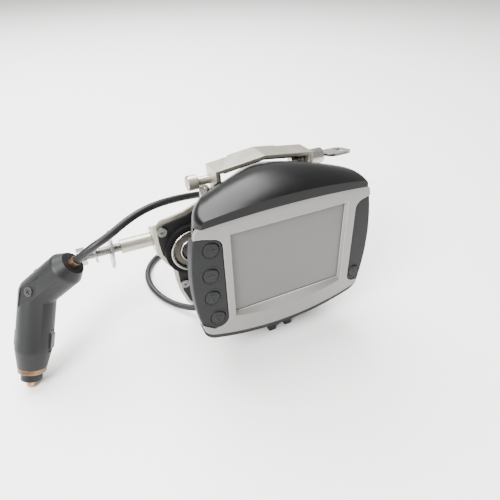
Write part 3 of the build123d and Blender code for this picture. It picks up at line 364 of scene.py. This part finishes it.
FINISHES = {
    finish.name: finish
    for finish in (
        Finish("silver_plastic", (0.180, 0.174, 0.163), 0.40, metal=0.45, marks=0.10, shift=0.08,
               grain_scale=2600, grain_height=0.000003, coat=0.2, edge_colour=(0.48, 0.47, 0.44),
               edge_amount=0.8),
        Finish("hood_black", (0.0012, 0.0013, 0.0015), 0.30, marks=0.10, shift=0.3, grain_scale=2200,
               grain_height=0.0000015, specular=0.20),
        Finish("grip_rubber", (0.009, 0.0094, 0.0102), 0.60, marks=0.14, shift=0.3, grain_scale=1700,
               grain_height=0.000012, specular=0.22, edge_colour=(0.03, 0.031, 0.032), edge_amount=0.5),
        Finish("key_rubber", (0.0085, 0.0089, 0.0096), 0.55, marks=0.14, grain_scale=1900,
               grain_height=0.00001, specular=0.22, edge_colour=(0.03, 0.031, 0.032), edge_amount=0.5),
        Finish("case_plastic", (0.008, 0.0085, 0.009), 0.50, grain_scale=1500, grain_height=0.00001,
               specular=0.22),
        Finish("screen_glass", (0.096, 0.094, 0.089), 0.38, marks=0.10, shift=0.06, grain_scale=3000,
               grain_height=0.000001, coat=0.2, specular=0.3),
        Finish("lcd_grey", (0.20, 0.20, 0.19), 0.5, shift=0.05),
        Finish("gasket_black", (0.004, 0.004, 0.004), 0.7, grain_scale=1600, specular=0.1),
        Finish("circuit_board", (0.012, 0.09, 0.035), 0.4, shift=0.4, grain_scale=600),
        Finish("ceramic", (0.52, 0.43, 0.28), 0.5, shift=0.2),
        Finish("battery_grey", (0.07, 0.075, 0.085), 0.45, shift=0.2),
        Finish("steel", (0.36, 0.35, 0.33), 0.32, metal=1.0, marks=0.25, shift=0.5, brushed=0.006,
               edge_colour=(0.80, 0.78, 0.72)),
        Finish("nickel", (0.38, 0.355, 0.30), 0.36, metal=0.85, marks=0.22, shift=0.25, brushed=0.004,
               edge_colour=(0.26, 0.22, 0.16), edge_amount=0.7),
        Finish("cradle_black", (0.006, 0.006, 0.0065), 0.45, grain_scale=1500, grain_height=0.000012,
               specular=0.25),
        Finish("gold", (0.80, 0.55, 0.20), 0.25, metal=1.0),
        Finish("panel_black", (0.006, 0.0062, 0.007), 0.5, grain_scale=1300, grain_height=0.000014,
               specular=0.2),
        Finish("damper_brown", (0.13, 0.115, 0.095), 0.40, metal=0.6, marks=0.3, shift=0.5,
               brushed=0.01),
        Finish("chrome", (0.38, 0.365, 0.335), 0.24, metal=1.0, marks=0.22, shift=0.3, brushed=0.003,
               edge_colour=(0.34, 0.32, 0.28), edge_amount=0.6),
        Finish("brass", (0.36, 0.22, 0.125), 0.34, metal=1.0, marks=0.3, shift=0.7,
               edge_colour=(0.75, 0.52, 0.33)),
        Finish("plug_black", (0.0045, 0.0048, 0.0052), 0.48, marks=0.14, shift=0.3, grain_scale=1500,
               grain_height=0.000012, specular=0.28, edge_colour=(0.028, 0.029, 0.03), edge_amount=0.6),
        Finish("led_red", (0.20, 0.035, 0.015), 0.2, coat=0.5),
        Finish("cord_black", (0.006, 0.0063, 0.007), 0.42, marks=0.12, shift=0.2, grain_scale=1800,
               grain_height=0.000006, specular=0.3),
        Finish("fuse_glass", (0.75, 0.78, 0.78), 0.08, alpha=0.4),
        Finish("blackened", (0.012, 0.012, 0.0125), 0.36, marks=0.3, shift=0.5, specular=0.5,
               edge_colour=(0.10, 0.095, 0.09), edge_amount=0.8),
        Finish("old_brass", (0.17, 0.105, 0.062), 0.36, metal=1.0, marks=0.4, shift=0.9,
               edge_colour=(0.62, 0.42, 0.28)),
        Finish("dark_steel", (0.16, 0.158, 0.15), 0.38, metal=1.0, marks=0.3, shift=0.6,
               edge_colour=(0.55, 0.53, 0.49)),
    )
}


class Wardrobe:
    """Holds one material for each finish, made when it is first asked for."""

    def __init__(self) -> None:
        """Start empty."""
        self.made: dict[str, bpy.types.Material] = {}

    def material(self, finish: str) -> bpy.types.Material:
        """Return the material of a finish."""
        if finish not in self.made:
            self.made[finish] = FINISHES[finish].build()
        return self.made[finish]

    def dress(self, piece: bpy.types.Object, finish: str) -> None:
        """Give a piece one finish all over."""
        piece.data.materials.clear()
        piece.data.materials.append(self.material(finish))

    def dress_node(self, node: str, finish: str) -> None:
        """Give a CAD node its finish by its object's own material slots."""
        for place in frame["nodes"][node].material_slots:
            place.material = self.material(finish)


WARDROBE = Wardrobe()


# ------------------------------------------------------------------ making pieces
def add_object(name: str, data: bpy.types.ID | None) -> bpy.types.Object:
    """Make an object of some data, put it in the scene and return it."""
    made = bpy.data.objects.new(name, data)
    bpy.context.collection.objects.link(made)
    return made


def piece_from(
    mesh: bmesh.types.BMesh, name: str, slot: str, body: str, finish: str | None = None
) -> bpy.types.Object:
    """Turn a finished bmesh into a dressed piece that rides on a body.

    Args:
        mesh: the shape, already in the row frame; it is freed here.
        name: the piece's name.
        slot: the record's material slot.
        body: the CAD body it moves with.
        finish: its finish, where it differs from the slot's own.

    Returns:
        The new object.
    """
    data = bpy.data.meshes.new(name)
    mesh.to_mesh(data)
    mesh.free()
    piece = add_object(name, data)
    data.shade_smooth()
    data.set_sharp_from_angle(angle=SHARP_FROM)
    WARDROBE.dress(piece, finish or slot)
    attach(piece, body)
    LOG.info("%s: %d faces", name, len(data.polygons))
    return piece


def round_edges(node: str, width: float, segments: int = 3, angle: float = 40.0) -> None:
    """Ease a CAD node's sharp edges with modifiers, leaving its mesh as it is.

    Args:
        node: name of the CAD node.
        width: width of the rounded edge in metres.
        segments: steps of the rounding.
        angle: edges sharper than this are rounded, in degrees.
    """
    piece = frame["nodes"][node]
    weld = piece.modifiers.new("weld", "WELD")
    weld.merge_threshold = 0.000004
    bevel = piece.modifiers.new("ease", "BEVEL")
    bevel.width = width
    bevel.segments = segments
    bevel.limit_method = "ANGLE"
    bevel.angle_limit = math.radians(angle)
    bevel.miter_outer = "MITER_ARC"
    shade = piece.modifiers.new("smooth", "WEIGHTED_NORMAL")
    shade.keep_sharp = True


def ring_mesh(major: float, minor: float, steps: int = 48, sides: int = 10) -> bmesh.types.BMesh:
    """Spin a small circle into a ring about Z and return it as a bmesh."""
    mesh = bmesh.new()
    around = Matrix.Translation((major, 0, 0)) @ Matrix.Rotation(QUARTER_TURN, 4, "X")
    bmesh.ops.create_circle(mesh, segments=sides, radius=minor, matrix=around)
    bmesh.ops.spin(
        mesh, geom=mesh.verts[:] + mesh.edges[:], cent=(0, 0, 0), axis=(0, 0, 1),
        angle=FULL_TURN, steps=steps, use_merge=True,
    )
    bmesh.ops.remove_doubles(mesh, verts=mesh.verts[:], dist=1e-7)
    bmesh.ops.recalc_face_normals(mesh, faces=mesh.faces[:])
    return mesh


# ------------------------------------------------------------------ power lead
@dataclass
class PowerLead:
    """The cord with its angled plug."""

    diameter: float = 4.5 * MM
    lead_out: float = 13.0 * MM
    route: list[tuple[float, float, float]] = field(
        default_factory=lambda: [
            (-0.0955, 0.0380, 0.0842),
            (-0.0805, 0.0440, 0.0895),
            (-0.0670, 0.0500, 0.0904),
            (-0.0535, 0.0550, 0.0887),
            (-0.0390, 0.0605, 0.0852),
            (-0.0220, 0.0680, 0.0792),
            (-0.0045, 0.0770, 0.0687),
            (0.0080, 0.0880, 0.0537),
            (0.0130, 0.0990, 0.0360),
            (0.0080, 0.1090, 0.0190),
            (-0.0070, 0.1160, 0.0075),
            (-0.0260, 0.1190, 0.0029),
            (-0.0460, 0.1180, 0.0023),
            (-0.0620, 0.1110, 0.0023),
            (-0.0725, 0.0970, 0.0023),
            (-0.0745, 0.0800, 0.0023),
            (-0.0700, 0.0630, 0.0023),
            (-0.0610, 0.0480, 0.0029),
            (-0.0490, 0.0355, 0.0064),
        ]
    )
    ferrule_end: tuple[float, float, float] = (-0.1147, 0.03993, 0.07293)
    exit_way: tuple[float, float, float] = (0.7620, -0.2217, 0.6090)
    gland_end: tuple[float, float, float] = (-0.0220, 0.02815, 0.0116)
    gland_run: float = 14.0 * MM

    def build(self) -> bpy.types.Object:
        """Draw the cord as one smooth curve from the plug to the cradle's gland."""
        start, end = Vector(self.ferrule_end), Vector(self.gland_end)
        points = [start, start + self.lead_out * Vector(self.exit_way)]
        points += [Vector(p) for p in self.route]
        points += [end - Vector((self.gland_run, 0, 0)), end]
        curve = bpy.data.curves.new("cord", "CURVE")
        curve.dimensions = "3D"
        spline = curve.splines.new("NURBS")
        spline.points.add(len(points) - 1)
        for point, place in zip(spline.points, points):
            point.co = (*place, 1.0)
        spline.order_u = 3
        spline.use_endpoint_u = True
        spline.resolution_u = 14
        curve.bevel_depth = self.diameter / 2
        curve.bevel_resolution = 6
        curve.use_fill_caps = True
        piece = add_object("cord", curve)
        WARDROBE.dress(piece, "cord_black")
        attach(piece, "unit")
        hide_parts("power_cord")
        LOG.info("cord: %d route points", len(points))
        return piece


# ------------------------------------------------------------------ keys
class Symbol(Enum):
    """Plain signs on the keys."""

    PLUS = "key_zoom_in"
    MINUS = "key_zoom_out"
    PAGE = "key_page"
    SPEECH = "key_voice"
    POWER = "key_power"


@dataclass
class Keys:
    """Raised signs on the rubber keys, and the rims moulded round them."""

    relief: float = 0.16 * MM
    bar_ease: float = 0.12 * MM
    stroke: float = 0.75 * MM
    size: float = 4.6 * MM
    rim: float = 0.42 * MM

    def bar(self, mesh: bmesh.types.BMesh, x: float, y: float, wide: float, high: float) -> None:
        """Add one raised bar, centred at (x, y) on the key's face."""
        shape = Matrix.Translation((x, y, 0)) @ Matrix.Diagonal((wide, high, 2 * self.relief, 1))
        made = bmesh.ops.create_cube(mesh, size=1.0, matrix=shape)
        edges = list({edge for vert in made["verts"] for edge in vert.link_edges})
        bmesh.ops.bevel(
            mesh, geom=edges, offset=self.bar_ease, offset_type="OFFSET", affect="EDGES", segments=2,
            profile=0.5, material=-1,
        )

    def sign(self, symbol: Symbol) -> bmesh.types.BMesh:
        """Draw a sign flat, centred on the origin and raised along Z."""
        mesh = bmesh.new()
        size, stroke = self.size, self.stroke
        if symbol in (Symbol.PLUS, Symbol.MINUS):
            self.bar(mesh, 0, 0, size, stroke * 1.3)
        if symbol is Symbol.PLUS:
            self.bar(mesh, 0, 0, stroke * 1.3, size)
        if symbol is Symbol.PAGE:
            self.outline(mesh, size * 0.72, size * 0.92)
        if symbol is Symbol.SPEECH:
            self.outline(mesh, size * 0.95, size * 0.66)
            self.bar(mesh, -size * 0.2, -size * 0.48, stroke, stroke * 1.6)
        if symbol is Symbol.POWER:
            mesh.free()
            mesh = ring_mesh(size * 0.36, self.relief * 1.6, steps=32, sides=8)
            self.bar(mesh, 0, size * 0.3, stroke * 0.8, size * 0.5)
        return mesh

    def outline(self, mesh: bmesh.types.BMesh, wide: float, high: float) -> None:
        """Add four bars round a rectangle."""
        half = self.stroke / 2
        for side in (-1, 1):
            self.bar(mesh, side * (wide / 2 - half), 0, self.stroke, high)
            self.bar(mesh, 0, side * (high / 2 - half), wide - self.stroke, self.stroke)

    def build(self) -> None:
        """Make the sign of each key and the rim round it on the grip."""
        for symbol in Symbol:
            node = symbol.value
            low, high = LEAN.box(node)
            across, up = (low.x + high.x) / 2, (low.z + high.z) / 2
            sign = self.sign(symbol)
            sign.transform(LEAN.basis(LEAN.row(across, low.y - self.relief * 0.2, up)))
            piece_from(sign, f"{node}_sign", "key_rubber", node)
            grip = "left_grip" if across < 0 else "right_grip"
            face = LEAN.box(grip)[0].y
            rim = ring_mesh((high.x - low.x) / 2 + self.rim, self.rim)
            rim.transform(Matrix.Diagonal((1, 1, 0.8, 1)))
            rim.transform(LEAN.basis(LEAN.row(across, face + self.rim * 0.35, up)))
            piece_from(rim, f"{node}_rim", "grip_rubber", "unit")


# ------------------------------------------------------------------ screws and thread
@dataclass
class Thread:
    """A rod with a real screw thread in place of the plain one."""

    pitch: float = 1.0 * MM
    depth: float = 0.55 * MM
    overlap: float = 0.02 * MM
    facets: int = 24

    def build(self) -> bpy.types.Object:
        """Wind the thread's profile along the rod and close it with two plain ends."""
        low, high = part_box("threaded_rod")
        radius = (high[1] - low[1]) / 2
        length = high[0] - low[0]
        turns = int(length / self.pitch) - 1
        middle = Vector((low[0], (low[1] + high[1]) / 2, (low[2] + high[2]) / 2))
        mesh = bmesh.new()
        start = Matrix.Translation((self.pitch / 2, 0, 0))
        root, crest = radius - self.depth, radius - self.overlap
        profile = [(0.0, root), (0.18, root), (0.45, crest), (0.63, crest), (0.9, root), (1.0, root)]
        verts = [mesh.verts.new((x * self.pitch, 0, z)) for x, z in profile]
        edges = [mesh.edges.new(pair) for pair in zip(verts, verts[1:])]
        bmesh.ops.spin(
            mesh, geom=verts + edges, cent=(0, 0, 0), axis=(1, 0, 0), angle=FULL_TURN * turns,
            steps=self.facets * turns, dvec=(self.pitch / self.facets, 0, 0),
        )
        bmesh.ops.remove_doubles(mesh, verts=mesh.verts[:], dist=self.overlap)
        mesh.transform(start)
        core = root + self.overlap
        along = Matrix.Translation((length / 2, 0, 0)) @ Matrix.Rotation(QUARTER_TURN, 4, "Y")
        bmesh.ops.create_cone(
            mesh, segments=self.facets, radius1=core, radius2=core, depth=length, cap_ends=True,
            matrix=along,
        )
        mesh.transform(Matrix.Translation(middle))
        bmesh.ops.recalc_face_normals(mesh, faces=mesh.faces[:])
        piece = piece_from(mesh, "rod_thread", "steel", "unit", "dark_steel")
        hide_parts("threaded_rod")
        return piece


@dataclass
class Knurling:
    """The knurled clamp screw, with straight ridges round its head."""

    ridges: int = 22
    bite: float = 0.28 * MM
    ease: float = 0.5 * MM
    head_length: float = 9.0 * MM
    shank_radius: float = 1.55 * MM

    def build(self) -> bpy.types.Object:
        """Raise a ridged circle into the head and add the plain shank below it."""
        low, high = LEAN.box("clamp_screw")
        radius = (high.x - low.x) / 2
        head_low = high.z - self.head_length
        mesh = bmesh.new()
        made = bmesh.ops.create_circle(mesh, cap_ends=True, segments=self.ridges * 2, radius=radius)
        for index, vert in enumerate(made["verts"]):
            if index % 2:
                vert.co *= (radius - self.bite) / radius
        side = self.head_length - 2 * self.ease
        for lift, scale in ((self.ease, 1.0), (side, 1.0), (self.ease, 0.86)):
            top = [face for face in mesh.faces if len(face.verts) > 4][-1:]
            raised = bmesh.ops.extrude_face_region(mesh, geom=top)
            moved = [item for item in raised["geom"] if isinstance(item, bmesh.types.BMVert)]
            bmesh.ops.delete(mesh, geom=top, context="FACES_ONLY")
            bmesh.ops.translate(mesh, verts=moved, vec=(0, 0, lift))
            bmesh.ops.scale(mesh, verts=moved, vec=(scale, scale, 1.0))
        depth = head_low - low.z
        bmesh.ops.create_cone(
            mesh, segments=24, radius1=self.shank_radius, radius2=self.shank_radius, depth=depth,
            cap_ends=True, matrix=Matrix.Translation((0, 0, -depth / 2)),
        )
        bmesh.ops.recalc_face_normals(mesh, faces=mesh.faces[:])
        upright = Matrix((LEAN.across, LEAN.back, LEAN.up)).transposed().to_4x4()
        middle = LEAN.row((low.x + high.x) / 2, (low.y + high.y) / 2, head_low)
        mesh.transform(Matrix.Translation(middle) @ upright)
        piece = piece_from(mesh, "clamp_screw_knurled", "chrome", "clamp")
        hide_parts("clamp_screw")
        return piece


# ------------------------------------------------------------------ the CAD nodes' own looks
@dataclass
class CadLooks:
    """Finishes and eased edges of the nodes that keep their own shape."""

    worn: dict[str, str] = field(
        default_factory=lambda: {
            "panel_screws": "dark_steel", "plug_screw": "blackened", "plug_contact_left": "blackened",
            "plug_contact_right": "blackened", "plug_ferrule": "old_brass", "damper_core": "dark_steel",
            "plug_ring": "old_brass", "latch_pin": "dark_steel", "pivot_screw": "nickel",
        }
    )
    eased: dict[str, float] = field(
        default_factory=lambda: {
            "front_bezel": 0.30, "hood": 0.45, "left_grip": 0.45, "right_grip": 0.45,
            "rear_housing": 0.30, "locking_strap": 0.30, "back_plate": 0.30, "back_panel": 0.20,
            "damper_rubber": 0.30, "damper_rim": 0.25, "damper_washer": 0.20, "damper_sleeve": 0.15,
            "damper_core": 0.25, "pivot_screw": 0.20, "lock_barrel": 0.25, "lock_key": 0.20,
            "cradle": 0.40, "release_latch": 0.30, "rod_boss": 0.40, "rod_nut": 0.35,
            "spacer_tube": 0.20, "large_washer": 0.20, "small_washer": 0.15, "clamp_block": 0.25,
            "plug_shell": 0.60, "plug_collar": 0.20, "plug_ring": 0.25, "plug_contact_left": 0.25,
            "plug_contact_right": 0.25, "plug_ferrule": 0.20, "cord_gland": 0.30,
        }
    )

    def build(self) -> None:
        """Dress every node by its record slot or its worn finish, and round the edges that show."""
        for part in frame["record"]["subparts"]:
            WARDROBE.dress_node(part["node"], self.worn.get(part["node"], part["material_slot"]))
        for node, width in self.eased.items():
            round_edges(node, width * MM)
        LOG.info("dressed %d nodes", len(frame["nodes"]))


# ------------------------------------------------------------------ studio
@dataclass(frozen=True)
class Lamp:
    """A square soft light that faces the object."""

    name: str
    place: tuple[float, float, float]
    power: float
    size: float
    target: tuple[float, float, float] = (-0.02, 0.02, 0.05)

    def hang(self) -> None:
        """Put the lamp in the scene."""
        light = bpy.data.lights.new(self.name, "AREA")
        light.energy = self.power
        light.size = self.size
        lamp = add_object(self.name, light)
        lamp.location = self.place
        aim = Vector(self.target) - lamp.location
        lamp.rotation_euler = aim.to_track_quat("-Z", "Y").to_euler()


@dataclass
class Studio:
    """Pale floor, soft light and the camera."""

    lamps: tuple[Lamp, ...] = (
        Lamp("window_left", (-0.9, -0.4, 0.9), 48.0, 0.6),
        Lamp("ceiling", (-0.1, 0.7, 1.3), 85.0, 1.2),
    )
    sky_strength: float = 0.8
    eye: tuple[float, float, float] = (-0.09627, -0.15467, 0.21556)
    pitch: float = 38.77
    turn: float = 25.16
    lens: float = 27.72
    floor_size: float = 6.0
    floor_gap: float = 0.2 * MM

    def floor(self) -> None:
        """Lay a pale floor under the object."""
        mesh = bmesh.new()
        bmesh.ops.create_grid(mesh, x_segments=1, y_segments=1, size=self.floor_size)
        data = bpy.data.meshes.new("studio_floor")
        mesh.to_mesh(data)
        mesh.free()
        floor = add_object("studio_floor", data)
        floor.location.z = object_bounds()[0][2] - self.floor_gap
        material = bpy.data.materials.new("studio_white")
        material.use_nodes = True
        shader = material.node_tree.nodes["Principled BSDF"]
        shader.inputs["Base Color"].default_value = (0.86, 0.855, 0.84, 1)
        shader.inputs["Roughness"].default_value = 0.9
        data.materials.append(material)
        floor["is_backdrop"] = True

    def camera(self) -> None:
        """Stand the camera in front, to the left and above."""
        data = bpy.data.cameras.new("camera")
        data.lens = self.lens
        data.sensor_width = 36.0
        data.clip_start = 0.01
        camera = add_object("camera", data)
        down, side = math.radians(self.pitch), math.radians(self.turn)
        level = math.cos(down)
        ahead = Vector((math.sin(side) * level, math.cos(side) * level, -math.sin(down)))
        camera.location = self.eye
        camera.rotation_euler = ahead.to_track_quat("-Z", "Y").to_euler()
        bpy.context.scene.camera = camera

    def build(self) -> None:
        """Set the floor, the lights, the sky and the camera."""
        self.floor()
        for lamp in self.lamps:
            lamp.hang()
        world = bpy.data.worlds.new("studio_air")
        world.use_nodes = True
        air = world.node_tree.nodes["Background"]
        air.inputs["Color"].default_value = (1.0, 0.995, 0.985, 1)
        air.inputs["Strength"].default_value = self.sky_strength
        bpy.context.scene.world = world
        self.camera()


def main() -> None:
    """Build the pieces in order, then the studio round them."""
    CadLooks().build()
    PowerLead().build()
    Keys().build()
    Thread().build()
    Knurling().build()
    Studio().build()


if __name__ == "__main__":
    main()
